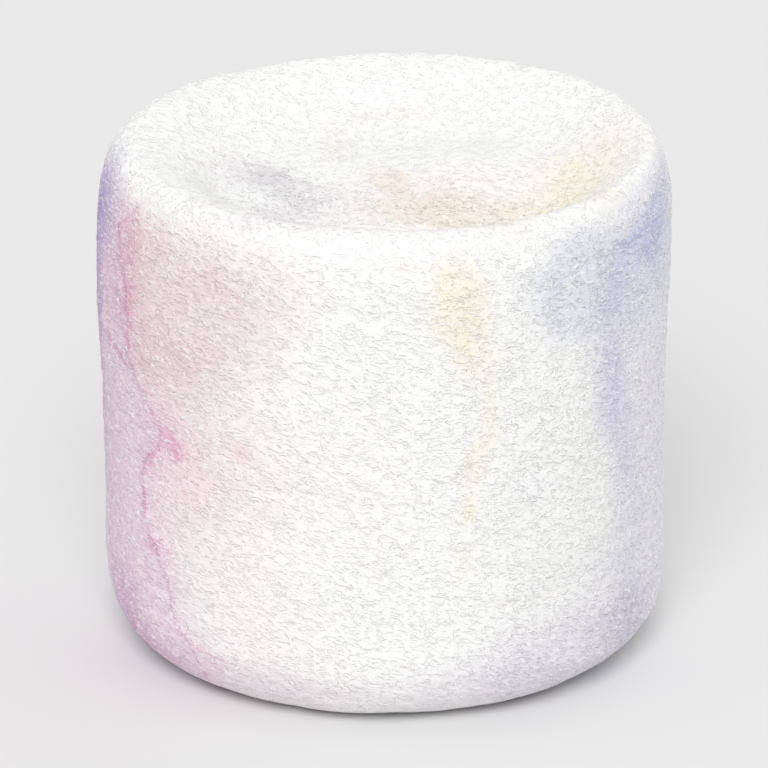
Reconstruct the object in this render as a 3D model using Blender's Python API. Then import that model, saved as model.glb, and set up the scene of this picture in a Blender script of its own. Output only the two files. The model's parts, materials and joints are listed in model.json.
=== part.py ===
"""A marshmallow: one soft cylinder of whipped sugar, cut across at both ends.

Metres, +Z up. The origin is the middle of the flat foot that it stands on, the cylinder's axis is Z
and its front is -Y. The top sinks into an off-centre dish inside a rounded rim.
"""

import math
from typing import NamedTuple

import bmesh
import bpy
from mathutils import Matrix, Vector

MM = 0.001

# Driving dimensions.
DIAMETER = 30.0 * MM  # across the side, halfway up
HEIGHT = 27.6 * MM  # from the foot to the crest of the rim
RIM_WIDTH = 1.6 * MM  # from the side in to the crest of the rim
RIM_DROP = 3.6 * MM  # how far the rim's outer round runs down the side
FOOT_WIDTH = 3.6 * MM  # from the side in to the flat foot
FOOT_RISE = 4.3 * MM  # how far the foot's round runs up the side
DISH_DEPTH = 2.2 * MM
DISH_OFFSET = Vector((0.9 * MM, -0.25 * MM, 0))  # how far the dish lies off the axis

RADIUS = DIAMETER / 2
CREST_RADIUS = RADIUS - RIM_WIDTH
FOOT_RADIUS = RADIUS - FOOT_WIDTH
RIM_BOTTOM = HEIGHT - RIM_DROP

# The side's shoulder and waist: a share of HEIGHT, its reach up and down, and a share of RADIUS.
SHOULDER = (0.71, 0.19, 0.009)
WAIST = (0.42, 0.20, -0.002)

# The shapes of the rounds and the dish: 2 is an ellipse, and more is squarer.
RIM_SQUARENESS = 2.2
FOOT_SQUARENESS = 2.2
DISH_FLATNESS = 3.0

# Shares of RADIUS between which a change of shape fades, from the middle out to the side.
SIDE_FADE = (0.60, 1.00)
OFFSET_FADE = (0.75, 1.00)
DISH_FADE = (0.62, CREST_RADIUS / RADIUS)
CREST_FADE = (0.40, CREST_RADIUS / RADIUS)

# How finely it is cut into facets.
FACETS_ROUND = 96
DISH_RINGS = 12
RIM_RINGS = 8
SIDE_RINGS = 12
FOOT_RINGS = 7
SOLE_RINGS = 3
RING_CROWDING = 0.8  # below 1, the dish's rings lie closer together towards the crest

SKIN_COLOUR = (0.93, 0.905, 0.89, 1.0)
SKIN_ROUGHNESS = 0.85


class Swelling(NamedTuple):
    """A soft bulge of the side."""

    azimuth: float  # degrees round from +X towards +Y
    height: float  # share of HEIGHT
    spread: float  # degrees to each side
    reach: float  # share of HEIGHT, up and down
    rise: float


class Dimple(NamedTuple):
    """A soft hollow of the dish, or with a negative depth a hump in it."""

    x: float  # shares of RADIUS
    y: float
    length: float  # half its length and half its width, as shares of RADIUS
    width: float
    turn: float  # degrees from +X to its length
    depth: float


class Wave(NamedTuple):
    """A slow rise and fall of the crest round the rim."""

    count: int  # crests in one turn
    azimuth: float  # degrees round from +X to the first of them
    rise: float


SWELLINGS = (
    Swelling(azimuth=180, height=0.64, spread=50, reach=0.15, rise=0.09 * MM),
    Swelling(azimuth=0, height=0.90, spread=45, reach=0.12, rise=0.14 * MM),
    Swelling(azimuth=-30, height=0.08, spread=34, reach=0.08, rise=0.45 * MM),
)
DIMPLES = (
    Dimple(x=-0.42, y=-0.30, length=0.32, width=0.20, turn=-32, depth=0.80 * MM),
    Dimple(x=0.34, y=-0.50, length=0.42, width=0.18, turn=18, depth=0.60 * MM),
    Dimple(x=0.30, y=0.05, length=0.32, width=0.24, turn=15, depth=-0.75 * MM),
    Dimple(x=-0.02, y=0.42, length=0.30, width=0.16, turn=-10, depth=0.25 * MM),
)
WAVES = (
    Wave(count=1, azimuth=-70, rise=0.04 * MM),
    Wave(count=2, azimuth=30, rise=0.12 * MM),
)


def superellipse(share, squareness):
    """A quarter of a superellipse: (across, along), from (0, 1) at share 0 to (1, 0) at share 1."""
    angle = share * math.pi / 2
    return math.sin(angle) ** (2 / squareness), math.cos(angle) ** (2 / squareness)


def bump(distance):
    """1 in the middle of a soft bump and 0 far from it."""
    return math.exp(-distance * distance)


def smooth_step(low, high, value):
    """0 below low, 1 above high, and a smooth run between."""
    share = min(max((value - low) / (high - low), 0.0), 1.0)
    return share * share * (3 - 2 * share)


def outward(point, fade):
    """0 near the axis and 1 near the side, with the fade's two shares of RADIUS between."""
    return smooth_step(fade[0], fade[1], math.hypot(point.x, point.y) / RADIUS)


def dish_drop(radius):
    """How far the dish lies below the crest at this distance from its middle."""
    share = min(radius / CREST_RADIUS, 1.0)
    return DISH_DEPTH * math.cos(math.pi / 2 * share**DISH_FLATNESS) ** 2


def profile():
    """(radius, height) down the turned shape, from the middle of the dish to the middle of the foot."""
    points = []
    for ring in range(DISH_RINGS):
        radius = CREST_RADIUS * (ring / DISH_RINGS) ** RING_CROWDING
        points.append((radius, HEIGHT - dish_drop(radius)))
    for ring in range(RIM_RINGS):
        across, along = superellipse(ring / RIM_RINGS, RIM_SQUARENESS)
        points.append((CREST_RADIUS + RIM_WIDTH * across, HEIGHT - RIM_DROP * (1 - along)))
    for ring in range(SIDE_RINGS):
        share = ring / SIDE_RINGS
        points.append((RADIUS, RIM_BOTTOM * (1 - share) + FOOT_RISE * share))
    for ring in range(FOOT_RINGS):
        along, across = superellipse(1 - ring / FOOT_RINGS, FOOT_SQUARENESS)
        points.append((FOOT_RADIUS + FOOT_WIDTH * along, FOOT_RISE * (1 - across)))
    for ring in range(SOLE_RINGS + 1):
        points.append((FOOT_RADIUS * (1 - ring / SOLE_RINGS), 0.0))
    return points


def turned(points):
    """A bmesh of the profile spun round Z, closed at its two poles."""
    mesh = bmesh.new()
    verts = [mesh.verts.new((radius, 0, height)) for radius, height in points]
    edges = [mesh.edges.new(pair) for pair in zip(verts, verts[1:])]
    bmesh.ops.spin(
        mesh,
        geom=verts + edges,
        cent=(0, 0, 0),
        axis=(0, 0, 1),
        angle=2 * math.pi,
        steps=FACETS_ROUND,
        use_merge=True,
    )
    bmesh.ops.remove_doubles(mesh, verts=mesh.verts, dist=0.001 * MM)
    bmesh.ops.recalc_face_normals(mesh, faces=mesh.faces)
    return mesh


def offset_dish(point):
    """Moves the dish and its crest off the axis, and leaves the side where it is."""
    return point + DISH_OFFSET * (1 - outward(point, OFFSET_FADE))


def wave_rim(point):
    """Lets the crest of the rim rise and fall a little on its way round."""
    azimuth = math.degrees(math.atan2(point.y, point.x))
    lift = sum(wave.rise * math.cos(math.radians(wave.count * (azimuth - wave.azimuth))) for wave in WAVES)
    upward = smooth_step(RIM_BOTTOM, HEIGHT, point.z)
    return point + Vector((0, 0, lift * upward * outward(point, CREST_FADE)))


def dent_dish(point):
    """Presses the dimples into the floor of the dish and raises its hump."""
    drop = 0.0
    for place in DIMPLES:
        across = Vector((point.x / RADIUS - place.x, point.y / RADIUS - place.y))
        across.rotate(Matrix.Rotation(-math.radians(place.turn), 2))
        drop += place.depth * bump(math.hypot(across.x / place.length, across.y / place.width))
    return point - Vector((0, 0, drop * (1 - outward(point - DISH_OFFSET, DISH_FADE))))


def squeeze_side(point):
    """Gives the straight side its shoulder, its waist and its uneven places."""
    share = point.z / HEIGHT
    scale = 1.0
    for height, reach, swell in (SHOULDER, WAIST):
        scale += swell * bump((share - height) / reach)
    azimuth = math.degrees(math.atan2(point.y, point.x))
    rise = 0.0
    for place in SWELLINGS:
        turn = (azimuth - place.azimuth + 180) % 360 - 180
        rise += place.rise * bump(turn / place.spread) * bump((share - place.height) / place.reach)
    scale += outward(point, SIDE_FADE) * rise / RADIUS
    return Vector((point.x * scale, point.y * scale, point.z))


def shaped(point):
    """Where a point of the turned shape lies on the marshmallow."""
    if point.z >= RIM_BOTTOM:
        point = dent_dish(wave_rim(offset_dish(point)))
    return squeeze_side(point)


def skin_material():
    """The matt, starch-dusted skin."""
    material = bpy.data.materials.new("skin")
    material.use_nodes = True
    shader = material.node_tree.nodes["Principled BSDF"]
    shader.inputs["Base Color"].default_value = SKIN_COLOUR
    shader.inputs["Roughness"].default_value = SKIN_ROUGHNESS
    shader.inputs["Metallic"].default_value = 0.0
    return material


def marshmallow():
    """The whole marshmallow, as one closed solid."""
    mesh = turned(profile())
    for vert in mesh.verts:
        vert.co = shaped(vert.co)
    data = bpy.data.meshes.new("marshmallow")
    mesh.to_mesh(data)
    mesh.free()
    data.shade_smooth()
    data.materials.append(skin_material())
    solid = bpy.data.objects.new("marshmallow", data)
    bpy.context.scene.collection.objects.link(solid)
    return solid


def main():
    for old in list(bpy.data.objects):
        bpy.data.objects.remove(old)
    marshmallow()


main()
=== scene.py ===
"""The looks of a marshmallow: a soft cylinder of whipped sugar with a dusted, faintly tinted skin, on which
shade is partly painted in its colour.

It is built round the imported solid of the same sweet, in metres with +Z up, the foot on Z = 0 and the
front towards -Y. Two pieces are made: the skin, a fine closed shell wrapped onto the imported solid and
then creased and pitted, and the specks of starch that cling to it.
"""

import json
import logging
import math
import random
from dataclasses import dataclass, field
from enum import Enum
from typing import Sequence

import bmesh
import bpy
from mathutils import Matrix, Quaternion, Vector, noise
from mathutils.bvhtree import BVHTree

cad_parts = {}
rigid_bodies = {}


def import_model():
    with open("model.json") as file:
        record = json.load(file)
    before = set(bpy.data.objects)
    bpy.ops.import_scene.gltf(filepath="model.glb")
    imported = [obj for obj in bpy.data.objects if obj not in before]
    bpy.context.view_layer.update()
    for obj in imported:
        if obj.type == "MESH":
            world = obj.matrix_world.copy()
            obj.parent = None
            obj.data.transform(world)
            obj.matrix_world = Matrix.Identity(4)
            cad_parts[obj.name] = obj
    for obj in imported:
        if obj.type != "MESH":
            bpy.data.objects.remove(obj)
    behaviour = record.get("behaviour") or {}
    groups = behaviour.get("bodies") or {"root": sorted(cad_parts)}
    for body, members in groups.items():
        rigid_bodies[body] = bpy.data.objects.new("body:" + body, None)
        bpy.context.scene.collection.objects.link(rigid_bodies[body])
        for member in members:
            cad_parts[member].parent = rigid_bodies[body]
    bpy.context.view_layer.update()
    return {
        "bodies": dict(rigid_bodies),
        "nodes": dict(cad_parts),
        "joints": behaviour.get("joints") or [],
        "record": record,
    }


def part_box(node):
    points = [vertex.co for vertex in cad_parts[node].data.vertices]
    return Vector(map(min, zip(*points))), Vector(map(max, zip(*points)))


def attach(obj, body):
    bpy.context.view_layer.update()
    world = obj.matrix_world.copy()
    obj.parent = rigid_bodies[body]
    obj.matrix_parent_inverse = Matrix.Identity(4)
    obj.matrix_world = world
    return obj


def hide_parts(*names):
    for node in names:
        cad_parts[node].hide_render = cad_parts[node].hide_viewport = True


MM = 0.001
SEED = 11
NODE = "marshmallow"
BODY = "root"
LEAN = (0.22, 0.20)  # how steeply the creases run down towards +X, and towards +Y
DEPTH_STRETCH = 1.6  # how much longer the folds are from front to back than from side to side
FINER = 2.0  # how many times finer each layer of a pattern is than the one before
ASIDE = (3.1, 7.7)  # how far away a second reading of a pattern is taken, so that it differs
CELL_SHIFT = Vector((9.0, 0.0, 0.0))  # the same, for the size of a pore
WELD = 0.001 * MM  # how near two corners of the solid's facets lie that are one and the same
OUTSIDE = 4  # how many heights from the heart of the solid a ray starts
LAMP_DISTANCE = 0.3  # which changes nothing but where the lamp is drawn

Pair = tuple[float, float]
Colour = tuple[float, float, float]
Socket = bpy.types.NodeSocket
Value = Socket | float | Sequence[float]

WHITE: Colour = (1.0, 1.0, 1.0)
NOISE_MIDDLE = (0.5, 0.5, 0.5)  # what a coloured noise comes to on the whole

log = logging.getLogger("marshmallow")


def rgba(colour: Colour) -> tuple[float, float, float, float]:
    """Returns an opaque colour as the sockets take it."""
    return (*colour, 1.0)


def smooth_step(low: float, high: float, value: float) -> float:
    """Returns a smooth run from 0, at low and before it, to 1, at high and past it."""
    share = min(max((value - low) / (high - low), 0.0), 1.0)
    return share * share * (3.0 - 2.0 * share)


def add_to_scene(name: str, data: bpy.types.ID) -> bpy.types.Object:
    """Returns a new object of the scene that shows a mesh, a light or a camera."""
    made = bpy.data.objects.new(name, data)
    bpy.context.scene.collection.objects.link(made)
    return made


def bump(distance: float) -> float:
    """Returns 1 in the middle of a soft bump, falling to 0 far from it."""
    return math.exp(-distance * distance)


def stretched(point: Vector, length: float, width: float) -> Vector:
    """Returns where a point lies in a pattern of features with this length, and this width up and down."""
    level = point.z + LEAN[0] * point.x + LEAN[1] * point.y
    return Vector((point.x / length, point.y / (DEPTH_STRETCH * length), level / width))


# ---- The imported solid, as the thing that the skin is wrapped onto ----


@dataclass
class Core:
    """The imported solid: its box, and where its surface lies.

    Args:
        solid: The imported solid's own object, which is only read.
    """

    solid: bpy.types.Object
    low: Vector = field(init=False)
    high: Vector = field(init=False)
    tree: BVHTree = field(init=False)

    def __post_init__(self) -> None:
        """Measures the solid and makes it ready for rays."""
        self.low, self.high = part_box(self.solid.name)
        mesh = bmesh.new()
        mesh.from_mesh(self.solid.data)
        bmesh.ops.remove_doubles(mesh, verts=mesh.verts, dist=WELD)
        self.tree = BVHTree.FromBMesh(mesh)
        mesh.free()

    @property
    def height(self) -> float:
        """From the foot to the highest point of the rim."""
        return self.high.z

    @property
    def radius(self) -> float:
        """Half the mean width."""
        return (self.high.x - self.low.x + self.high.y - self.low.y) / 4

    @property
    def heart(self) -> Vector:
        """The middle, from which every point of the surface can be seen."""
        return Vector((0.0, 0.0, self.height / 2))

    def surface_towards(self, point: Vector) -> Vector:
        """Where the line from the heart through a point leaves the solid.

        Args:
            point: Any point but the heart.

        Returns:
            The point of the surface on that line.
        """
        direction = (point - self.heart).normalized()
        outside = self.heart + direction * OUTSIDE * self.height
        hit, _, _, _ = self.tree.ray_cast(outside, -direction)
        return hit


# ---- Relief: how the skin departs from the smooth solid ----


@dataclass(frozen=True)
class Swells:
    """Soft swells and hollows.

    Args:
        length: The size of a swell from side to side.
        width: The same, up and down, or None where swells are round and don't lie along the creases.
        rise: How far a swell stands out, or a hollow lies in.
        fade: How much weaker each finer layer is.
        layers: How many layers there are.
        shift: Moves the pattern.
    """

    length: float
    width: float | None
    rise: float
    fade: float
    layers: int
    shift: float = 0.0

    def height(self, point: Vector) -> float:
        """How far the skin is moved here.

        Args:
            point: Where on the skin.

        Returns:
            The move outwards, which is below 0 in a hollow.
        """
        place = stretched(point, self.length, self.width) if self.width else point / self.length
        place += Vector((0.0, 0.0, self.shift))
        return self.rise * noise.fractal(place, self.fade, FINER, self.layers)


@dataclass(frozen=True)
class Creases:
    """Short wandering creases of a dry, papery skin.

    Args:
        length: The usual length of a crease, along the skin.
        width: The usual gap from one crease to the next.
        depth: How deep a crease is pressed.
        sharpness: Above 1, the creases are narrow and the skin between them is broad.
        shift: Moves the pattern.
        wander: How far a crease strays from its run, in gaps.
        bend: How quickly it strays to and fro.
        narrow: How quickly the skin rises beside a crease.
    """

    length: float
    width: float
    depth: float
    sharpness: float
    shift: float
    wander: float = 0.35
    bend: float = 0.6
    narrow: float = 2.2

    def height(self, point: Vector) -> float:
        """How far the skin is moved here.

        Args:
            point: Where on the skin.

        Returns:
            The move outwards, which is below 0 in a crease.
        """
        place = stretched(point, self.length, self.width) + Vector((0.0, self.shift, 0.0))
        place += self.wander * noise.noise_vector(self.bend * place + Vector((self.shift, *ASIDE)))
        ridge = 1.0 - abs(noise.noise(place)) * self.narrow
        return -self.depth * max(ridge, 0.0) ** self.sharpness


@dataclass(frozen=True)
class Groove:
    """A shallow soft groove, or a ridge, in the dish of the top.

    Args:
        start: Where it starts, in shares of the radius along X and Y.
        end: Where it ends.
        width: Half its width.
        depth: How deep it is, below 0 for a ridge.
        ends: How full it is where it starts and ends, as the share of a half wave that it skips.
    """

    start: Pair
    end: Pair
    width: float
    depth: float
    ends: float = 0.15

    def height(self, point: Vector, radius: float) -> float:
        """How far the skin is moved here.

        Args:
            point: Where on the skin.
            radius: The marshmallow's radius.

        Returns:
            The move outwards, which is below 0 in a groove.
        """
        first, last = Vector(self.start) * radius, Vector(self.end) * radius
        run = last - first
        here = point.xy - first
        share = min(max(here.dot(run) / run.length_squared, 0.0), 1.0)
        taper = math.sin(math.pi * (self.ends + (1.0 - 2.0 * self.ends) * share))
        return -self.depth * taper * bump((here - share * run).length / self.width)


@dataclass(frozen=True)
class Pores:
    """Shallow round pits, where bubbles of the whipped sugar lie under the skin.

    Args:
        gap: From one place for a pore to the next.
        width: Half the width of the widest pore.
        depth: How deep the deepest is.
        share: Which share of the places holds a pore.
        smallest: How large the smallest pore is, as a share of the widest.
        cells: What turns a place into its chance of a pore, and into the size of the pore.
    """

    gap: float
    width: float
    depth: float
    share: float
    smallest: float = 0.45
    cells: Pair = (37.0, 53.0)

    def height(self, point: Vector, amount: float) -> float:
        """How far the skin is moved here.

        Args:
            point: Where on the skin.
            amount: From 0, where the skin has no pores, to 1.

        Returns:
            The move outwards, which is below 0 in a pore.
        """
        distances, places = noise.voronoi(point / self.gap)
        chance = noise.cell(places[0] * self.cells[0])
        if chance > self.share * amount:
            return 0.0
        drawn = noise.cell(places[0] * self.cells[1] + CELL_SHIFT)
        fullness = self.smallest + (1.0 - self.smallest) * drawn
        return -self.depth * fullness * bump(distances[0] * self.gap / (self.width * fullness))


@dataclass(frozen=True)
class Relief:
    """All that is pressed into the skin or stands out of it.

    Args:
        lumps: The broad unevenness.
        folds: The long soft creases.
        ripples: The small swells between them.
        pores: The pits, which crowd on the cut ends.
        side_pores: How many of the pores the side has.
        grooves: The marks in the dish of the top.
        foot_firmness: How far above the foot the relief reaches its full depth.
        levels: How level the skin is where the pores of the ends begin, and where they all show.
        dish_level: How level it is, at the least, where the grooves can lie.
    """

    lumps: Swells
    folds: Creases
    ripples: Swells
    pores: Pores
    side_pores: float
    grooves: tuple[Groove, ...]
    foot_firmness: float
    levels: Pair = (0.35, 0.9)
    dish_level: float = 0.5

    def height(self, point: Vector, normal: Vector, radius: float) -> float:
        """How far the skin is moved out at a point.

        Args:
            point: Where on the skin.
            normal: Which way the skin faces there.
            radius: The marshmallow's radius.

        Returns:
            The move along the normal.
        """
        flatness = smooth_step(*self.levels, abs(normal.z))
        amount = self.side_pores + (1.0 - self.side_pores) * flatness
        rise = self.lumps.height(point)
        rise += self.folds.height(point)
        rise += self.ripples.height(point)
        rise += self.pores.height(point, amount)
        if normal.z > self.dish_level:
            rise += sum(groove.height(point, radius) for groove in self.grooves)
        return rise


SKIN_RELIEF = Relief(
    lumps=Swells(length=9.0 * MM, width=None, rise=0.10 * MM, fade=1.0, layers=3),
    folds=Creases(length=4.2 * MM, width=2.0 * MM, depth=0.05 * MM, sharpness=1.6, shift=4.2),
    ripples=Swells(length=1.7 * MM, width=0.8 * MM, rise=0.045 * MM, fade=0.9, layers=2, shift=11.5),
    pores=Pores(gap=1.5 * MM, width=0.36 * MM, depth=0.08 * MM, share=0.45),
    side_pores=0.2,
    grooves=(
        Groove(start=(-0.52, 0.10), end=(-0.22, -0.18), width=0.9 * MM, depth=0.22 * MM),
        Groove(start=(-0.62, -0.05), end=(-0.30, -0.42), width=1.6 * MM, depth=0.20 * MM),
        Groove(start=(-0.16, 0.58), end=(0.10, 0.64), width=0.8 * MM, depth=0.16 * MM),
        Groove(start=(-0.04, -0.02), end=(0.10, -0.20), width=0.8 * MM, depth=0.16 * MM),
    ),
    foot_firmness=1.2 * MM,
)


# ---- Finishes ----


class Wiring:
    """A material's node tree, with short ways to add the nodes that the finishes use.

    Args:
        tree: The node tree to add to.
    """

    def __init__(self, tree: bpy.types.NodeTree) -> None:
        """Takes the tree and starts it with the piece's own coordinates."""
        self.tree = tree
        self.place: Socket = self.add("ShaderNodeTexCoord").outputs["Object"]

    def add(self, kind: str, *values: Value, **settings: object) -> bpy.types.Node:
        """Adds one node.

        Args:
            kind: Blender's name for the node.
            *values: What its first inputs take.
            **settings: Properties to set on it.

        Returns:
            The new node.
        """
        node = self.tree.nodes.new(kind)
        for name, value in settings.items():
            setattr(node, name, value)
        for socket, value in zip(node.inputs, values):
            self.feed(socket, value)
        return node

    def feed(self, socket: Socket, value: Value) -> None:
        """Links a socket to another, or sets its value.

        Args:
            socket: The input to feed.
            value: An output to link, or a number or a row of numbers to set.
        """
        if isinstance(value, bpy.types.NodeSocket):
            self.tree.links.new(value, socket)
        else:
            socket.default_value = value

    def fill(self, node: bpy.types.Node, values: dict[str, Value]) -> None:
        """Feeds a node's inputs, each by its name."""
        for name, value in values.items():
            self.feed(node.inputs[name], value)

    def math(self, operation: str, *values: Value) -> Socket:
        """Returns the result of one sum on numbers."""
        return self.add("ShaderNodeMath", *values, operation=operation).outputs[0]

    def vector(self, operation: str, *values: Value) -> Socket:
        """Returns the result of one sum on vectors, which is a number for a length or a dot product."""
        result = "Value" if operation in ("LENGTH", "DOT_PRODUCT") else "Vector"
        return self.add("ShaderNodeVectorMath", *values, operation=operation).outputs[result]

    def parts(self, vector: Socket) -> tuple[Socket, ...]:
        """Returns the X, Y and Z of a vector."""
        return tuple(self.add("ShaderNodeSeparateXYZ", vector).outputs)

    def joined(self, *parts: Socket) -> Socket:
        """Returns the vector with these parts, and 0 for any that aren't given."""
        return self.add("ShaderNodeCombineXYZ", *parts).outputs[0]

    def noise(self, size: float, detail: float = 2.0, roughness: float = 0.5,
              vector: "Socket | None" = None, warp: float = 0.0) -> bpy.types.Node:
        """Adds a noise pattern.

        Args:
            size: The size of its largest features, in metres.
            detail: How many finer layers it has.
            roughness: How strong the finer layers are.
            vector: Where it is read, or None for the piece's own coordinates.
            warp: How far it distorts itself.

        Returns:
            The noise node.
        """
        node = self.add("ShaderNodeTexNoise")
        self.fill(node, {"Vector": self.place if vector is None else vector, "Scale": 1.0 / size,
                         "Detail": detail, "Roughness": roughness, "Distortion": warp})
        return node

    def ramp(self, value: Socket, low: float, high: float, start: Value = 0.0, end: Value = 1.0) -> Socket:
        """Returns a smooth run from start, at low and before it, to end, at high and past it."""
        node = self.add("ShaderNodeMapRange", value, low, high, start, end, interpolation_type="SMOOTHSTEP")
        return node.outputs["Result"]

    def mix(self, share: "Socket | float", under: "Socket | Colour", over: "Socket | Colour",
            blend: str = "MIX") -> Socket:
        """One colour laid over another.

        Args:
            share: How strongly the upper one shows.
            under: The lower colour.
            over: The upper colour.
            blend: How they are laid, such as MIX or MULTIPLY.

        Returns:
            The socket with the colour.
        """
        node = self.add("ShaderNodeMix", share, data_type="RGBA", blend_type=blend)
        colours = [socket for socket in node.inputs if socket.type == "RGBA"]
        for socket, colour in zip(colours, (under, over)):
            self.feed(socket, colour if isinstance(colour, bpy.types.NodeSocket) else rgba(colour))
        return next(socket for socket in node.outputs if socket.type == "RGBA")

    def raise_skin(self, shader: bpy.types.Node, height: Socket, distance: float) -> None:
        """Lets a pattern stand out of the skin.

        Args:
            shader: The skin's shader.
            height: The pattern.
            distance: How far a height of 1 stands out.
        """
        raised = self.add("ShaderNodeBump")
        self.fill(raised, {"Distance": distance, "Height": height})
        self.feed(shader.inputs["Normal"], raised.outputs[0])


def new_material(name: str) -> tuple[bpy.types.Material, bpy.types.Node, Wiring]:
    """Starts a material with a principled shader.

    Args:
        name: The material's name.

    Returns:
        The material, its shader and its wiring.
    """
    material = bpy.data.materials.new(name)
    material.use_nodes = True
    shader = material.node_tree.nodes["Principled BSDF"]
    return material, shader, Wiring(material.node_tree)


class Sheet(Enum):
    """The two flat sheets on which the tints are laid out, before they meet the skin."""

    SIDE = "side"  # unrolled: degrees from the front towards +X, and shares of the height
    TOP = "top"  # seen from above: shares of the radius along X and Y


@dataclass(frozen=True)
class Wash:
    """A soft patch of tint or painted shade with an uneven edge, which is painted light where its tint is
    above 1.

    Args:
        across: Where its middle is, along its sheet's first direction.
        up: Where its middle is, along its sheet's second direction.
        width: Half its width, in millimetres, to where it has half its strength.
        height: Half its height, in millimetres.
        tint: What it leaves of the white below it; above 1, it lightens it as painted light.
        turn: Degrees that it is turned on its sheet.
        core: The share of the patch that has the full tint, so that 1 gives a hard edge.
    """

    across: float
    up: float
    width: float
    height: float
    tint: Colour
    turn: float = 0.0
    core: float = 0.35


def washes(*rows: tuple) -> tuple[Wash, ...]:
    """Returns a wash for each row, which holds what a wash takes, in the same order."""
    return tuple(Wash(*row) for row in rows)


@dataclass(frozen=True)
class Flank:
    """A tint that runs the whole height of the side, along a wandering line.

    Args:
        line: The line, as pairs of a share of the height and degrees from the front.
        stops: The tint on each side of the line, as pairs of a distance in millimetres and a tint.
            The distance grows towards the right.
    """

    line: tuple[Pair, ...]
    stops: tuple[tuple[float, Colour], ...]


# Left flank: lilac and rose along a wandering line, partly pastel tint and partly painted shade where the
# side turns from the light.
LEFT_FLANK = Flank(
    line=((0.0, -42), (0.10, -41.5), (0.15, -45), (0.24, -49), (0.31, -54.5), (0.36, -57.5),
          (0.41, -57.5), (0.46, -55.5), (0.505, -51.5), (0.55, -52), (0.60, -55.5), (0.66, -59.5),
          (0.78, -61.5), (0.86, -65), (1.0, -67)),
    stops=(
        (-25.0, WHITE),
        (-15.0, (0.91, 0.83, 0.92)),
        (-8.0, (0.84, 0.685, 0.82)),
        (-0.35, (0.87, 0.70, 0.815)),
        (-0.05, (0.80, 0.57, 0.70)),
        (0.25, (0.92, 0.74, 0.83)),
        (1.0, (0.94, 0.79, 0.86)),
        (2.6, (0.965, 0.89, 0.92)),
        (4.2, (0.985, 0.945, 0.96)),
        (8.0, (0.995, 0.98, 0.98)),
        (11.0, WHITE),
    ),
)
LEFT_VEIN = Flank(
    line=((0.0, -122), (0.30, -118), (0.50, -124), (0.60, -116), (0.63, -96), (0.645, -72),
          (0.66, -64), (0.70, -61.5), (0.715, -67), (0.75, -62), (0.765, -66), (0.80, -60),
          (0.835, -66), (0.865, -61), (0.89, -66), (0.935, -63), (0.97, -58), (1.0, -57)),
    stops=(
        (-0.55, WHITE),
        (-0.14, (0.96, 0.90, 0.94)),
        (0.0, (0.88, 0.73, 0.82)),
        (0.14, (0.97, 0.91, 0.94)),
        (0.65, WHITE),
    ),
)
# Right flank: blue-lilac, partly pastel tint and partly painted shade where the side turns from the light.
RIGHT_FLANK = Flank(
    line=((0.0, 58), (0.16, 60), (0.30, 60), (0.44, 58), (0.54, 55), (0.62, 52.5), (0.70, 51),
          (0.80, 51), (0.90, 54), (1.0, 60)),
    stops=(
        (-2.8, WHITE),
        (-1.3, (0.92, 0.92, 0.955)),
        (-0.4, (0.865, 0.86, 0.94)),
        (0.6, (0.85, 0.84, 0.935)),
        (2.4, (0.905, 0.89, 0.96)),
        (6.0, (0.92, 0.905, 0.98)),
        (14.0, (0.945, 0.935, 0.985)),
        (23.0, WHITE),
    ),
)
# Patches on the left flank, partly pastel tint and partly painted shade.
LEFT_WASHES = washes(
    (-44, 0.8, 5.8, 4.7, (0.91, 0.815, 0.83), 16, 0.5),
    (-46, 0.7, 3.4, 1.2, (0.965, 0.92, 0.93), 14),
    (-24, 0.885, 2.8, 2.2, (0.965, 0.93, 0.93)),
    (-61, 0.9, 1.0, 1.5, (0.92, 0.8, 0.85), 12),
    (-60.5, 0.775, 0.7, 1.6, (0.96, 0.88, 0.91), -8),
    (-79, 0.93, 2.4, 2.8, (0.71, 0.74, 0.92)),
    (-82, 0.8, 1.4, 4.0, (0.8, 0.78, 0.95)),
    (-76, 0.82, 3.6, 2.9, (0.97, 0.925, 0.96), 0, 0.7),
    (-70, 0.655, 2.5, 0.26, (0.88, 0.72, 0.81), -3),
    (-47.5, 0.52, 1.0, 0.5, (0.93, 0.74, 0.84), -20),
    (-55, 0.46, 0.3, 1.3, (0.93, 0.76, 0.85), -32),
    (-58, 0.37, 0.25, 1.0, (0.94, 0.8, 0.88)),
    (-53, 0.3, 1.0, 0.4, (0.93, 0.8, 0.88)),
    (-28.5, 0.555, 0.8, 0.6, (0.96, 0.88, 0.88)),
    (-34, 0.47, 3.4, 5.2, (0.99, 0.96, 0.955)),
    (-44, 0.48, 3.4, 3.8, (0.985, 0.905, 0.945)),
    (-42, 0.19, 2.2, 2.6, (1.0, 1.05, 1.035), 0, 0.3),
    # Painted shade towards the foot, in this row and the next two.
    (-68, 0.12, 2.4, 2.0, (0.87, 0.74, 0.87), 8),
    (-38, 0.115, 1.6, 0.14, (0.94, 0.84, 0.89), -12),
    (-23, 0.13, 0.25, 0.7, (0.95, 0.91, 0.94), -24),
    (-84, 0.62, 1.5, 5.5, (0.87, 0.8, 0.88)),
    (-78, 0.42, 2.6, 6.5, (0.97, 0.945, 0.965)),
    (-54, 0.92, 1.6, 1.3, (0.965, 0.9, 0.905)),
    (-38, 0.865, 2.4, 1.1, (0.975, 0.945, 0.945), 10),
    # Painted shade towards the foot, in this row and the next.
    (-58, 0.05, 2.8, 1.4, (0.88, 0.79, 0.87)),
    (-22, 0.085, 5.0, 0.9, (0.94, 0.915, 0.94), 3),
)
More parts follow.
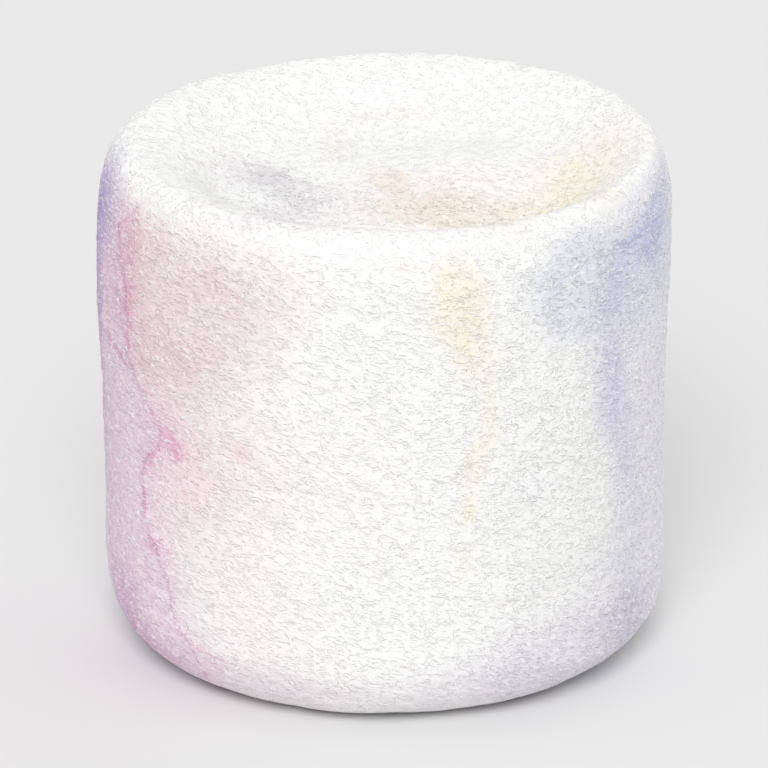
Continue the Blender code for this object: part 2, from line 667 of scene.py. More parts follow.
FRONT_WASHES = washes(
    (14.8, 0.865, 1.55, 2.3, (0.985, 0.93, 0.81), 8, 0.6),
    (17.5, 0.76, 1.1, 1.2, (0.985, 0.95, 0.86), -20),
    (21.2, 0.66, 0.4, 2.0, (0.995, 0.97, 0.89)),
    (18.5, 0.55, 0.5, 1.8, (0.995, 0.965, 0.88), -14),
    (16.5, 0.46, 0.55, 0.6, (0.99, 0.95, 0.84)),
    (15, 0.35, 0.5, 1.2, (1.0, 0.98, 0.92), -10),
    (3.5, 0.935, 1.1, 0.25, (0.985, 0.955, 0.89), -28),
    (-12, 0.5, 5.0, 6.0, (1.0, 0.995, 0.98)),
    # Painted shade: a band along the foot.
    (4, 0.0, 12.5, 2.8, (0.94, 0.925, 0.955), 0, 0.5),
)
# Patches on the right flank, partly pastel tint and partly painted shade.
RIGHT_WASHES = washes(
    (43, 0.855, 3.1, 2.9, (0.825, 0.84, 0.92), 0, 0.55),
    (44, 0.925, 2.2, 0.9, (0.955, 0.955, 0.965)),
    (31, 0.86, 1.4, 1.7, (0.95, 0.955, 0.97), 0, 0.7),
    (57.5, 0.895, 1.1, 0.45, (0.8, 0.83, 0.94)),
    (67, 0.89, 2.4, 1.5, (0.74, 0.78, 0.915), 12),
    (76, 0.955, 2.4, 1.3, (0.84, 0.85, 0.92)),
    (66, 0.8, 4.2, 2.4, (0.9, 0.925, 0.99)),
    (51, 0.65, 1.2, 2.8, (0.88, 0.865, 0.955), 4),
    (55.5, 0.5, 1.3, 2.4, (0.93, 0.92, 0.975), 8),
    (29, 0.48, 1.6, 3.0, (0.975, 0.98, 0.985)),
    (32, 0.48, 1.2, 0.9, (0.98, 0.985, 0.99)),
    (31, 0.22, 2.4, 3.0, (0.965, 0.96, 0.97)),
    # Painted shade towards the foot, in this row and the ones after it.
    (50, 0.2, 2.4, 2.6, (0.925, 0.91, 0.95)),
    (61, 0.14, 3.2, 1.6, (0.885, 0.865, 0.925)),
    (40, 0.09, 5.5, 2.8, (0.85, 0.825, 0.885), 0, 0.5),
    (16, 0.1, 3.4, 1.4, (0.955, 0.945, 0.965)),
    (34, 0.135, 1.2, 0.13, (0.93, 0.92, 0.94), 14),
)
BACK_WASHES = washes(
    (162, 0.8, 1.8, 2.6, (0.985, 0.93, 0.81), -8, 0.6),
    (157, 0.56, 0.7, 2.6, (0.995, 0.965, 0.89), 8),
    (-146, 0.66, 5.0, 6.0, (0.95, 0.89, 0.9), 15),
    (-95, 0.82, 3.8, 5.0, (0.88, 0.89, 0.96)),
    (-104, 0.42, 5.0, 6.0, (0.95, 0.91, 0.95)),
    (-126, 0.42, 1.3, 3.0, (0.95, 0.87, 0.92), 12),
    (124, 0.7, 2.4, 4.0, (0.9, 0.9, 0.95), -12),
    (132, 0.24, 5.5, 4.0, (0.93, 0.92, 0.96), -10),
    # Painted shade: a band along the foot.
    (178, 0.0, 16.0, 2.8, (0.93, 0.915, 0.95), 0, 0.5),
    (-178, 0.3, 4.0, 3.0, (0.97, 0.965, 0.975)),
)
# Painted shade and painted light on the top: grey-lilac painted shadow in the dish along the near left of
# the rim, cream painted shade along its near right and round the middle, and painted light where a tint is
# above 1, on the floor of the dish and on the rims.
TOP_PAINTED_SHADE_AND_LIGHT = washes(
    (-0.41, -0.18, 3.0, 3.0, (0.915, 0.912, 0.925)),
    (-0.45, 0.06, 1.9, 0.95, (0.86, 0.85, 0.87), -38),
    (-0.325, -0.05, 2.3, 1.25, (0.86, 0.85, 0.87), -62),
    (-0.36, -0.25, 1.5, 0.9, (0.91, 0.895, 0.91)),
    (-0.48, -0.62, 2.0, 0.9, (0.91, 0.9, 0.912)),
    (-0.55, -0.01, 1.7, 0.9, (0.93, 0.92, 0.935), -20),
    (0.05, -0.76, 5.0, 0.7, (0.955, 0.94, 0.95)),
    (0.15, 0.25, 3.6, 3.2, (1.02, 1.022, 1.03), 0, 0.2),
    (-0.84, 0.02, 2.6, 5.0, (1.024, 1.026, 1.034), 0, 0.3),
    (0.84, -0.33, 2.0, 3.0, (1.018, 1.022, 1.03), 0, 0.3),
    (-0.41, -0.5, 2.4, 1.3, (0.945, 0.945, 0.951)),
    (0.58, -0.02, 1.5, 1.8, (0.985, 0.955, 0.915)),
    (0.72, -0.52, 1.2, 1.2, (0.985, 0.97, 0.91)),
    (-0.18, -0.24, 2.2, 2.2, (0.945, 0.935, 0.945)),
    (0.01, -0.07, 0.8, 1.9, (0.95, 0.88, 0.82), 22),
    (0.22, -0.16, 4.4, 2.0, (0.985, 0.955, 0.94)),
    (0.22, -0.32, 4.0, 1.9, (0.91, 0.84, 0.765), -4, 0.45),
    (0.12, -0.42, 3.0, 0.9, (0.965, 0.945, 0.925)),
    (0.58, -0.3, 2.1, 2.6, (0.995, 0.945, 0.86)),
    (0.72, -0.1, 1.9, 4.4, (1.0, 0.955, 0.85), -8, 0.3),
    (-0.03, 0.57, 1.3, 0.55, (0.975, 0.95, 0.905), 34, 0.2),
    (0.09, 0.59, 1.0, 0.5, (0.975, 0.95, 0.905), -20, 0.2),
    (-0.18, 0.32, 0.9, 2.2, (0.985, 0.965, 0.93)),
    (-0.2, -0.78, 5.2, 0.9, (0.915, 0.89, 0.915)),
    (0.26, -0.8, 2.8, 0.8, (0.925, 0.86, 0.8)),
    (-0.95, -0.22, 0.9, 3.0, (0.78, 0.75, 0.89)),
)


class Pattern(Enum):
    """The kinds of fine pattern, each with Blender's name for it."""

    CREASES = "RIDGED_MULTIFRACTAL"
    SWELLS = "FBM"


@dataclass(frozen=True)
class Grain:
    """A pattern too fine for the shell itself.

    Args:
        kind: Which kind it is.
        length: The size of a feature from side to side.
        deep: The same, from front to back.
        tall: The same, up and down.
        detail: How many finer layers it has.
        warp: How far its lines wander.
        roughness: How strong the finer layers are.
        offset: How flat the skin is between creases.
        gain: How much the finer creases crowd into the larger ones.
    """

    kind: Pattern
    length: float
    deep: float
    tall: float
    detail: float = 1.0
    warp: float = 0.0
    roughness: float = 0.6
    offset: float = 0.9
    gain: float = 2.0

    def field(self, wiring: Wiring) -> Socket:
        """Adds the pattern to a material.

        Args:
            wiring: The material's wiring.

        Returns:
            How strong the pattern is at each place.
        """
        across, along, _ = wiring.parts(wiring.place)
        deep = wiring.math("MULTIPLY", along, self.length / self.deep)
        tallness = self.length / self.tall
        slope = (LEAN[0] * tallness, LEAN[1] * tallness, tallness)
        place = wiring.joined(across, deep, wiring.vector("DOT_PRODUCT", wiring.place, slope))
        node = wiring.noise(self.length, self.detail, self.roughness, place, self.warp)
        node.noise_type = self.kind.value
        if self.kind is Pattern.CREASES:
            wiring.fill(node, {"Offset": self.offset, "Gain": self.gain})
        return node.outputs[0]


SIDE_CREASES = Grain(Pattern.CREASES, 0.55 * MM, deep=0.88 * MM, tall=0.33 * MM, warp=1.6)
TOP_CREASES = Grain(Pattern.CREASES, 0.64 * MM, deep=0.46 * MM, tall=0.40 * MM, warp=1.4)
BREAKS = Grain(Pattern.SWELLS, 0.42 * MM, deep=0.67 * MM, tall=0.29 * MM)
SPECKLE = Grain(Pattern.SWELLS, 0.42 * MM, deep=0.60 * MM, tall=0.19 * MM, detail=2.0, warp=0.9)


@dataclass(frozen=True)
class SkinFinish:
    """The matt, softly translucent skin, with its faint colour, which is partly pastel tint and partly
    painted shade and light.

    Args:
        radius: The marshmallow's radius.
        height: Its height.
        white: The skin's own colour.
        painted_crease_shade: What the painted shade in the deepest crease leaves of the colour.
        pressed: How strongly the creases are darkened with painted shade where the skin is plain and where
            it is tinted,
        and how much is added to that on the top.
        broader: How much broader the creases are on the top.
        rises: How far a crease and a high spot stand out, which is below 0 for a crease.
        deep: The strengths of the creases' pattern where their painted shade starts and where it is
            darkest.
        breaks: The strengths of the breaks where a crease is faintest and where it is fullest, and how
            much of it shows in each case.
        strong_tint: How light the tints are where they count as strong.
        roughness: How matt it is, in the hollows and on the high spots.
        hollows: The strengths of the speckle in a hollow and on a high spot.
        specular: How strongly it mirrors.
        sheen: How strongly its dust lights up at a glancing angle, and how widely.
        translucence: Which share of the light goes in and comes out again.
        bleed: How far that light spreads under the skin.
        bleeding: How far the red, green and blue of it do, as shares of that.
        bare: The strengths of the speckle where the tint starts to fail and where it fails most, and how
            much of it is missing in each case.
        wanders: The size and the reach of each layer of the unevenness that the tints share.
        crown: The shares of the height between which the top's tints come in.
        rim: The shares of the radius between which they end.
        foot: The share of the height below which the side's tints can end.
        underside: The shares of the radius between which they come in under the foot.
        flanks: The colour that runs the whole height, partly pastel tint and partly painted shade where the
            side turns from the light.
        side_washes: The patches on the side, partly pastel tint and partly painted shade, with painted
            shade towards the foot.
        top_painted_shade_and_light: The patches on the top: painted shade in the dish, and painted light
            where their tint is above 1.
    """

    radius: float
    height: float
    white: Colour = (0.975, 0.97, 0.957)
    painted_crease_shade: Colour = (0.62, 0.61, 0.58)
    pressed: tuple[float, float, float] = (0.44, 1.25, 0.36)
    broader: float = 0.09
    rises: Pair = (-0.050 * MM, 0.070 * MM)
    deep: Pair = (1.0, 1.5)
    breaks: tuple[float, float, float, float] = (0.42, 0.58, 0.15, 1.0)
    strong_tint: float = 0.86
    roughness: Pair = (0.92, 0.78)
    hollows: Pair = (0.35, 0.65)
    specular: float = 0.25
    sheen: Pair = (0.05, 0.6)
    translucence: float = 0.15
    bleed: float = 0.6 * MM
    bleeding: Colour = (1.0, 0.96, 0.9)
    bare: tuple[float, float, float, float] = (0.52, 0.66, 0.0, 0.66)
    wanders: tuple[Pair, ...] = ((3.5 * MM, 1.8 * MM), (0.8 * MM, 0.7 * MM), (0.35 * MM, 0.3 * MM))
    crown: Pair = (0.80, 0.88)
    rim: Pair = (0.925, 0.985)
    foot: float = 0.04
    underside: Pair = (0.45, 0.80)
    flanks: tuple[Flank, ...] = (LEFT_FLANK, LEFT_VEIN, RIGHT_FLANK)
    side_washes: tuple[Wash, ...] = (*LEFT_WASHES, *FRONT_WASHES, *RIGHT_WASHES, *BACK_WASHES)
    top_painted_shade_and_light: tuple[Wash, ...] = TOP_PAINTED_SHADE_AND_LIGHT

    def sheets(self, wiring: Wiring) -> dict[Sheet, Socket]:
        """Lays the side and the top out flat, with the unevenness that all the tints share.

        Args:
            wiring: The material's wiring.

        Returns:
            Where a point of the skin lies on each sheet, in metres.
        """
        across, along, up = wiring.parts(wiring.place)
        turn = wiring.math("ARCTAN2", across, wiring.math("MULTIPLY", along, -1.0))
        around = wiring.math("MULTIPLY", turn, self.radius)
        warp = self.warp(wiring)
        return {
            Sheet.SIDE: wiring.vector("ADD", wiring.joined(around, up), warp),
            Sheet.TOP: wiring.vector("ADD", wiring.joined(across, along), warp),
        }

    def warp(self, wiring: Wiring) -> Socket:
        """The unevenness that all the tints share.

        Args:
            wiring: The material's wiring.

        Returns:
            A small wandering shift, in metres.
        """
        total: Value = (0.0, 0.0, 0.0)
        for size, reach in self.wanders:
            wander = wiring.noise(size).outputs["Color"]
            centred = wiring.vector("SUBTRACT", wander, NOISE_MIDDLE)
            total = wiring.vector("ADD", total, wiring.vector("MULTIPLY", centred, (reach, reach, 0.0)))
        return total

    def shares(self, wiring: Wiring) -> dict[Sheet, Socket]:
        """How much each sheet counts at a point of the skin.

        Args:
            wiring: The material's wiring.

        Returns:
            For each sheet, 1 where its tints show in full and 0 where they don't.
        """
        up = wiring.parts(wiring.place)[2]
        out = wiring.vector("LENGTH", wiring.vector("MULTIPLY", wiring.place, (1.0, 1.0, 0.0)))
        high = wiring.ramp(up, *(share * self.height for share in self.crown))
        inside = wiring.ramp(out, *(share * self.radius for share in self.rim), 1.0, 0.0)
        top = wiring.math("MULTIPLY", high, inside)
        low = wiring.ramp(up, 0.0, self.foot * self.height, 1.0, 0.0)
        middle = wiring.ramp(out, *(share * self.radius for share in self.underside), 1.0, 0.0)
        under = wiring.math("MULTIPLY", low, middle)
        side = wiring.math("MULTIPLY", *(wiring.math("SUBTRACT", 1.0, share) for share in (top, under)))
        return {Sheet.SIDE: side, Sheet.TOP: top}

    def lay_wash(self, wiring: Wiring, under: Socket, wash: Wash, sheet: Sheet, laid: Socket,
                 share: Socket) -> Socket:
        """Lays one patch over what is there, darkening it with tint and painted shade, and lightening it as
        painted light where the tint is above 1.

        Args:
            wiring: The material's wiring.
            under: The colour below.
            wash: The patch.
            sheet: Which sheet it lies on.
            laid: Where the point lies on that sheet.
            share: How much the sheet counts there.

        Returns:
            The colour with the patch on it.
        """
        if sheet is Sheet.SIDE:
            middle = (math.radians(wash.across) * self.radius, wash.up * self.height, 0.0)
        else:
            middle = (wash.across * self.radius, wash.up * self.radius, 0.0)
        reach = 2.0 - wash.core
        turn = (0.0, 0.0, math.radians(wash.turn))
        size = (reach * wash.width * MM, reach * wash.height * MM, 1.0)
        frame = wiring.add("ShaderNodeMapping", laid, middle, turn, size, vector_type="TEXTURE")
        inwards = wiring.add("ShaderNodeTexGradient", frame.outputs[0], gradient_type="SPHERICAL")
        amount = wiring.ramp(inwards.outputs["Fac"], 0.0, 1.0 - wash.core / reach)
        return wiring.mix(wiring.math("MULTIPLY", amount, share), under, wash.tint, "MULTIPLY")

    def lay_flank(self, wiring: Wiring, under: Socket, flank: Flank, laid: Socket, share: Socket) -> Socket:
        """Lays a tint along its line.

        Args:
            wiring: The material's wiring.
            under: The colour below.
            flank: The tint and its line.
            laid: Where the point lies on the side's sheet.
            share: How much that sheet counts there.

        Returns:
            The colour with the tint on it.
        """
        along, up, _ = wiring.parts(laid)
        curve = wiring.add("ShaderNodeFloatCurve")
        wiring.feed(curve.inputs["Value"], wiring.math("DIVIDE", up, self.height))
        points = curve.mapping.curves[0].points
        while len(points) < len(flank.line):
            points.new(0.5, 0.5)
        for point, (height, azimuth) in zip(points, flank.line):
            point.location = (height, azimuth / 180.0 + 0.5)
        curve.mapping.update()
        centred = wiring.math("SUBTRACT", curve.outputs[0], 0.5)
        line = wiring.math("MULTIPLY", centred, math.pi * self.radius)
        distance = wiring.math("SUBTRACT", along, line)
        first, last = flank.stops[0][0] * MM, flank.stops[-1][0] * MM
        scaled = wiring.add("ShaderNodeMapRange", distance, first, last, 0.0, 1.0)
        ramp = wiring.add("ShaderNodeValToRGB", scaled.outputs[0])
        elements = ramp.color_ramp.elements
        while len(elements) < len(flank.stops):
            elements.new(0.5)
        for element, (place, tint) in zip(elements, flank.stops):
            element.position = (place * MM - first) / (last - first)
            element.color = rgba(tint)
        ramp.color_ramp.interpolation = "EASE"
        return wiring.mix(share, under, ramp.outputs[0], "MULTIPLY")

    def tints_and_painted_shade(self, wiring: Wiring) -> Socket:
        """Lays all the colour over pure white: pastel tint, painted shade on the flanks, along the foot and
        in the dish, and painted light where a patch is above 1.

        Args:
            wiring: The material's wiring.

        Returns:
            The colour with the tints on it.
        """
        laid, shares = self.sheets(wiring), self.shares(wiring)
        plain = wiring.add("ShaderNodeRGB")
        plain.outputs[0].default_value = rgba(WHITE)
        colour = plain.outputs[0]
        for flank in self.flanks:
            colour = self.lay_flank(wiring, colour, flank, laid[Sheet.SIDE], shares[Sheet.SIDE])
        # These patches lay painted shade and painted light as well as pastel tint.
        for sheet, patches in ((Sheet.SIDE, self.side_washes), (Sheet.TOP, self.top_painted_shade_and_light)):
            for wash in patches:
                colour = self.lay_wash(wiring, colour, wash, sheet, laid[sheet], shares[sheet])
        return colour

    def material(self) -> bpy.types.Material:
        """Returns the finished material."""
        material, shader, wiring = new_material("marshmallow_skin")
        top = self.shares(wiring)[Sheet.TOP]
        creases = wiring.ramp(top, 0.0, 1.0, SIDE_CREASES.field(wiring), TOP_CREASES.field(wiring))
        speckle = SPECKLE.field(wiring)
        unbroken = wiring.ramp(BREAKS.field(wiring), *self.breaks)
        tints_and_painted_shade = self.tints_and_painted_shade(wiring)
        light = wiring.add("ShaderNodeRGBToBW", tints_and_painted_shade).outputs[0]
        # Painted shade in the creases: how strongly each crease is darkened, more where the skin is plain
        # and on the top.
        plain, tinted, on_top = self.pressed
        strength = wiring.math("ADD", wiring.ramp(light, self.strong_tint, 1.0, tinted, plain),
                               wiring.math("MULTIPLY", top, on_top))
        broad = wiring.math("ADD", creases, wiring.math("MULTIPLY", top, self.broader))
        pressed = wiring.math("MULTIPLY", wiring.ramp(broad, *self.deep), unbroken)
        pressed = wiring.math("MULTIPLY", pressed, strength)
        colour = wiring.mix(wiring.ramp(speckle, *self.bare), tints_and_painted_shade, WHITE)
        colour = wiring.mix(1.0, self.white, colour, "MULTIPLY")
        # Painted shade: the creases are darkened in the skin's colour.
        colour = wiring.mix(pressed, colour, self.painted_crease_shade, "MULTIPLY")
        wiring.fill(shader, {
            "Base Color": colour,
            "Roughness": wiring.ramp(speckle, *self.hollows, *self.roughness),
            "Specular IOR Level": self.specular,
            "Sheen Weight": self.sheen[0],
            "Sheen Roughness": self.sheen[1],
            "Subsurface Weight": self.translucence,
            "Subsurface Radius": self.bleeding,
            "Subsurface Scale": self.bleed,
        })
        sunk = wiring.math("MULTIPLY", wiring.math("MULTIPLY", creases, unbroken), self.rises[0])
        swollen = wiring.math("MULTIPLY", speckle, self.rises[1])
        wiring.raise_skin(shader, wiring.math("ADD", sunk, swollen), 1.0)
        return material


@dataclass(frozen=True)
class StarchFinish:
    """The dry starch that clings to the skin in specks and takes up the skin's colour, with its painted
    shade and painted light.

    Args:
        skin: How the skin under it is finished.
        thick: How much white covers the tints where the starch is thick.
        thin: How much white covers them where it is thin.
        roughness: How matt it is.
        size: The size of its uneven patches.
        patchy: The strengths of their pattern where it is thin and where it is thick.
        specular: How strongly it mirrors.
        rise: How far the patches stand out.
    """

    skin: SkinFinish
    thick: float = 0.35
    thin: float = 0.10
    roughness: float = 0.95
    size: float = 0.12 * MM
    patchy: Pair = (0.3, 0.7)
    specular: float = 0.2
    rise: float = 0.02 * MM

    def material(self) -> bpy.types.Material:
        """Returns the finished material."""
        material, shader, wiring = new_material("starch")
        patches = wiring.noise(self.size, roughness=0.6).outputs[0]
        cover = wiring.ramp(patches, *self.patchy, self.thin, self.thick)
        # The colour under the starch carries the skin's painted shade and painted light.
        colour = wiring.mix(cover, self.skin.tints_and_painted_shade(wiring), WHITE)
        wiring.fill(shader, {
            "Base Color": wiring.mix(1.0, self.skin.white, colour, "MULTIPLY"),
            "Roughness": wiring.ramp(patches, *self.patchy, self.roughness, 1.0),
            "Specular IOR Level": self.specular,
        })
        wiring.raise_skin(shader, patches, self.rise)
        return material


# ---- The pieces ----


@dataclass
class Skin:
    """The whole visible skin, as one closed shell wrapped onto the core.

    Args:
        core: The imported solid.
        finish: How it is finished.
        relief: What is pressed into the skin.
        across: Facets along each level edge of the block that it is wrapped from.
        tall: Facets along each upright edge, which are smaller, because the side's creases run level.
    """

    core: Core
    finish: SkinFinish
    relief: Relief = SKIN_RELIEF
    across: int = 112
    tall: int = 160

    def block(self) -> bmesh.types.BMesh:
        """Returns a cube from -1 to 1, cut into the facets of the skin."""
        mesh = bmesh.new()
        bmesh.ops.create_cube(mesh, size=2.0)
        upright = [edge for edge in mesh.edges if edge.verts[0].co.z * edge.verts[1].co.z < 0.0]
        bmesh.ops.subdivide_edges(mesh, edges=upright, cuts=self.tall - 1, use_grid_fill=True)
        half_facet = 0.5 / self.tall
        level = [edge for edge in mesh.edges if abs(edge.verts[0].co.z - edge.verts[1].co.z) < half_facet]
        bmesh.ops.subdivide_edges(mesh, edges=level, cuts=self.across - 1, use_grid_fill=True)
        return mesh

    def template(self, corner: Vector) -> Vector:
        """Rounds a point of a cube from -1 to 1 into one of a cylinder round the core.

        Args:
            corner: A point on the cube.

        Returns:
            The point of the cylinder, whose facets are all about as large.
        """
        reach = max(abs(corner.x), abs(corner.y))
        if reach == 0.0:
            around = 0.0
        elif abs(corner.x) >= abs(corner.y):
            around = math.pi / 4 * corner.y / corner.x + (math.pi if corner.x < 0 else 0.0)
        else:
            around = math.pi / 2 - math.pi / 4 * corner.x / corner.y + (math.pi if corner.y < 0 else 0.0)
        level = self.core.height / 2 * (1.0 + corner.z)
        across = self.core.radius * reach
        return Vector((across * math.cos(around), across * math.sin(around), level))

    def press(self, point: Vector, normal: Vector) -> Vector:
        """Moves a point of the smooth skin by the relief.

        Args:
            point: Where it lies on the smooth skin.
            normal: Which way the skin faces there.

        Returns:
            Where it lies on the finished skin, never below the foot.
        """
        rise = self.relief.height(point, normal, self.core.radius)
        firm = smooth_step(0.0, self.relief.foot_firmness, point.z)
        if normal.z < 0.0 and firm < 1.0:
            rise = firm * rise + (1.0 - firm) * min(rise, 0.0)
        moved = point + normal * rise
        moved.z = max(moved.z, 0.0)
        return moved

    def build(self) -> bpy.types.Object:
        """Returns the finished piece."""
        mesh = self.block()
        for vert in mesh.verts:
            vert.co = self.core.surface_towards(self.template(vert.co))
        bmesh.ops.smooth_vert(mesh, verts=mesh.verts, factor=0.5, use_axis_x=True, use_axis_y=True,
                              use_axis_z=True)
        mesh.normal_update()
        normals = [vert.normal.copy() for vert in mesh.verts]
        for vert, normal in zip(mesh.verts, normals):
            vert.co = self.press(vert.co, normal)
        bmesh.ops.recalc_face_normals(mesh, faces=mesh.faces)
        data = bpy.data.meshes.new("marshmallow_skin")
        mesh.to_mesh(data)
        mesh.free()
        data.shade_smooth()
        data.materials.append(self.finish.material())
        piece = add_to_scene("marshmallow_skin", data)
        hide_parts(NODE)
        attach(piece, BODY)
        return piece


@dataclass
class StarchDust:
    """Specks of the starch that the sweet was rolled in.

    Args:
        skin: The finished skin, on which they lie.
        finish: How they are finished.
        count: How many there are.
        size: Half the width of the smallest and of the largest speck.
        flatness: How thick a speck is, as a share of its width.
        sunk: Which share of its thickness lies in the skin.
        oblong: Between which times its width a speck is long.
        uneven: Between which times its usual thickness it is thick.
        rough: Between which times its usual reach each corner of it lies.
        clump: The size of the patches in which they crowd.
        clumped: The strengths of the pattern of patches where there are none, and where they are thickest.
        scattered: How thickly they lie on the top, the front and the back, as a share of the flanks.
        flanks: How far to one side a place lies, 1 being all the way, where the flanks start and are full.
        downward: How far up the skin faces, 1 being all the way, where it is too far under to hold any.
        batch: How many are made at a time, which only keeps the making quick.
    """

    skin: bpy.types.Object
    finish: StarchFinish
    count: int = 5200
    size: Pair = (0.035 * MM, 0.085 * MM)
    flatness: float = 0.55
    sunk: float = 0.45
    oblong: Pair = (0.9, 1.7)
    uneven: Pair = (0.7, 1.2)
    rough: Pair = (0.75, 1.2)
    clump: float = 2.2 * MM
    clumped: Pair = (-0.35, 0.55)
    scattered: float = 0.40
    flanks: Pair = (0.45, 0.85)
    downward: float = -0.5
    batch: int = 120

    def crowding(self, point: Vector, normal: Vector) -> float:
        """How likely a place is to hold a speck.

        Args:
            point: The place.
            normal: Which way the skin faces there.

        Returns:
            A chance from 0 to 1.
        """
        if normal.z < self.downward:
            return 0.0
        sideways = abs(point.x) / max(point.xy.length, MM)
        flank = smooth_step(*self.flanks, sideways) * (1.0 - abs(normal.z))
        patch = smooth_step(*self.clumped, noise.noise(point / self.clump))
        return (self.scattered + (1.0 - self.scattered) * flank) * patch

    def places(self, chance: random.Random) -> list[tuple[Vector, Vector]]:
        """Chooses where the specks lie.

        Args:
            chance: The source of the random draws.

        Returns:
            For each speck, its place on the skin and which way the skin faces there.
        """
        mesh = self.skin.data
        found: list[tuple[Vector, Vector]] = []
        while len(found) < self.count:
            facet = mesh.polygons[chance.randrange(len(mesh.polygons))]
            first, second, third, fourth = (mesh.vertices[index].co for index in facet.vertices)
            across, along = chance.random(), chance.random()
            point = first.lerp(second, across).lerp(fourth.lerp(third, across), along)
            if chance.random() < self.crowding(point, facet.normal):
                found.append((point, facet.normal.copy()))
        return found

    def speck(self, mesh: bmesh.types.BMesh, place: Vector, normal: Vector, chance: random.Random) -> None:
        """Adds one speck.

        Args:
            mesh: What it is added to.
            place: Where it lies.
            normal: Which way the skin faces there.
            chance: The source of the random draws.
        """
        half = self.size[0] + (self.size[1] - self.size[0]) * chance.random() ** 2
        wide = half * chance.uniform(*self.oblong)
        thick = half * self.flatness * chance.uniform(*self.uneven)
        turn = normal.to_track_quat("Z", "X").to_matrix().to_4x4()
        spin = Matrix.Rotation(chance.uniform(0.0, math.tau), 4, "Z")
        middle = place + normal * thick * (1.0 - 2.0 * self.sunk)
        shape = Matrix.Translation(middle) @ turn @ spin @ Matrix.Diagonal((wide, half, thick, 1.0))
        made = bmesh.ops.create_icosphere(mesh, subdivisions=1, radius=1.0)
        for vert in made["verts"]:
            vert.co = shape @ (vert.co * chance.uniform(*self.rough))

    def build(self) -> bpy.types.Object:
        """Returns the finished piece."""
        chance = random.Random(SEED)
        places = self.places(chance)
        whole = bmesh.new()
        data = bpy.data.meshes.new("starch_dust")
        for start in range(0, len(places), self.batch):
            few = bmesh.new()
            for place, normal in places[start:start + self.batch]:
                self.speck(few, place, normal, chance)
            few.to_mesh(data)
            few.free()
            whole.from_mesh(data)
        bmesh.ops.recalc_face_normals(whole, faces=whole.faces)
        whole.to_mesh(data)
        whole.free()
        data.shade_smooth()
        data.materials.append(self.finish.material())
        piece = add_to_scene("starch_dust", data)
        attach(piece, BODY)
        return piece


# ---- The studio ----


def turned_towards(direction: Vector) -> Quaternion:
    """Returns the turn that points an object's -Z along a direction."""
    return direction.to_track_quat("-Z", "Y")


@dataclass(frozen=True)
class Sun:
    """A broad, soft, even light.

    Args:
        name: Its name.
        azimuth: Degrees from the front towards +X, to where the light comes from.
        elevation: Degrees above the floor.
        strength: Its strength on a face that it meets squarely.
        spread: The angle that it seems to fill, in degrees, for soft shadows.
        colour: Its colour.
    """

    name: str
    azimuth: float
    elevation: float
    strength: float
    spread: float
    colour: Colour = WHITE

    def build(self) -> bpy.types.Object:
        """Returns the light, in place."""
        data = bpy.data.lights.new(self.name, "SUN")
        data.energy = self.strength
        data.angle = math.radians(self.spread)
        data.color = self.colour
        lamp = add_to_scene(self.name, data)
        around, up = math.radians(self.azimuth), math.radians(self.elevation)
        source = Vector((math.sin(around) * math.cos(up), -math.cos(around) * math.cos(up), math.sin(up)))
        lamp.location = source * LAMP_DISTANCE
        lamp.rotation_mode = "QUATERNION"
        lamp.rotation_quaternion = turned_towards(-source)
        return lamp


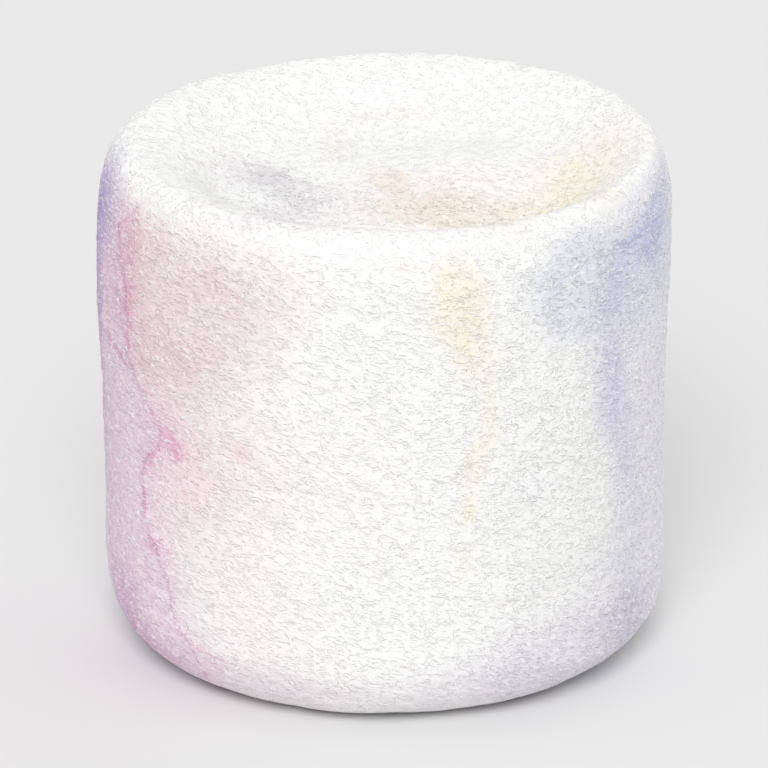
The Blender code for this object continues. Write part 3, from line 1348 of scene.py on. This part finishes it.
@dataclass(frozen=True)
class Studio:
    """The floor, the surroundings and the lights.

    Args:
        suns: The lights.
        sky: How strongly the surroundings light the object.
        backdrop: How bright they look behind it.
        floor_grey: How light the floor is.
        floor_half: Half the floor's width.
    """

    suns: tuple[Sun, ...] = (
        Sun("key", azimuth=-5, elevation=46, strength=1.50, spread=30),
        Sun("back_fill", azimuth=160, elevation=35, strength=0.25, spread=60),
    )
    sky: float = 0.62
    backdrop: float = 0.83
    floor_grey: float = 0.81
    floor_half: float = 6.0

    def light(self) -> None:
        """Makes the lights and the surroundings."""
        for sun in self.suns:
            sun.build()
        world = bpy.data.worlds.new("studio")
        bpy.context.scene.world = world
        world.use_nodes = True
        nodes, links = world.node_tree.nodes, world.node_tree.links
        lit, seen = nodes["Background"], nodes.new("ShaderNodeBackground")
        for background, strength in ((lit, self.sky), (seen, self.backdrop)):
            background.inputs["Color"].default_value = rgba(WHITE)
            background.inputs["Strength"].default_value = strength
        path = nodes.new("ShaderNodeLightPath")
        mix = nodes.new("ShaderNodeMixShader")
        links.new(path.outputs["Is Camera Ray"], mix.inputs["Fac"])
        links.new(lit.outputs["Background"], mix.inputs[1])
        links.new(seen.outputs["Background"], mix.inputs[2])
        links.new(mix.outputs["Shader"], nodes["World Output"].inputs["Surface"])

    def floor(self) -> bpy.types.Object:
        """Returns the pale floor, which isn't part of the object."""
        mesh = bmesh.new()
        bmesh.ops.create_grid(mesh, x_segments=1, y_segments=1, size=self.floor_half)
        data = bpy.data.meshes.new("floor")
        mesh.to_mesh(data)
        mesh.free()
        material, shader, wiring = new_material("floor_paper")
        grey = rgba((self.floor_grey,) * 3)
        wiring.fill(shader, {"Base Color": grey, "Roughness": 1.0, "Specular IOR Level": 0.0})
        data.materials.append(material)
        floor = add_to_scene("floor", data)
        return floor


@dataclass(frozen=True)
class Viewpoint:
    """The camera, level from side to side and looking a little down from the front.

    Args:
        elevation: Degrees above the floor.
        distance: From the camera to what it looks at.
        aim_height: How high above the floor it looks.
        field: How much it takes in from side to side, at that distance.
        sensor: The width of its sensor, in millimetres.
        near: How near a thing can be and still be seen.
    """

    elevation: float = 22.8
    distance: float = 322.5 * MM
    aim_height: float = 13.58 * MM
    field: float = 41.0 * MM
    sensor: float = 36.0
    near: float = 10 * MM

    def build(self) -> bpy.types.Object:
        """Returns the camera, in place and made the scene's own."""
        data = bpy.data.cameras.new("camera")
        data.sensor_width = self.sensor
        data.lens = self.sensor * self.distance / self.field
        data.clip_start = self.near
        camera = add_to_scene("camera", data)
        up = math.radians(self.elevation)
        back = Vector((0.0, -math.cos(up), math.sin(up)))
        camera.location = Vector((0.0, 0.0, self.aim_height)) + back * self.distance
        camera.rotation_mode = "QUATERNION"
        camera.rotation_quaternion = turned_towards(-back)
        bpy.context.scene.camera = camera
        return camera


def main() -> None:
    """Builds the pieces in order, and the studio round them."""
    logging.basicConfig(level=logging.INFO, format="%(name)s: %(message)s")
    noise.seed_set(SEED)  # or the creases would wander in another way each time
    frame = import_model()
    core = Core(frame["nodes"][NODE])
    Viewpoint().build()
    finish = SkinFinish(core.radius, core.height)
    skin = Skin(core, finish).build()
    dust = StarchDust(skin, StarchFinish(finish)).build()
    for piece in (skin, dust):
        log.info("%s: %d facets", piece.name, len(piece.data.polygons))
    studio = Studio()
    studio.light()
    studio.floor()
    bpy.context.scene.view_settings.view_transform = "Standard"


if __name__ == "__main__":
    main()
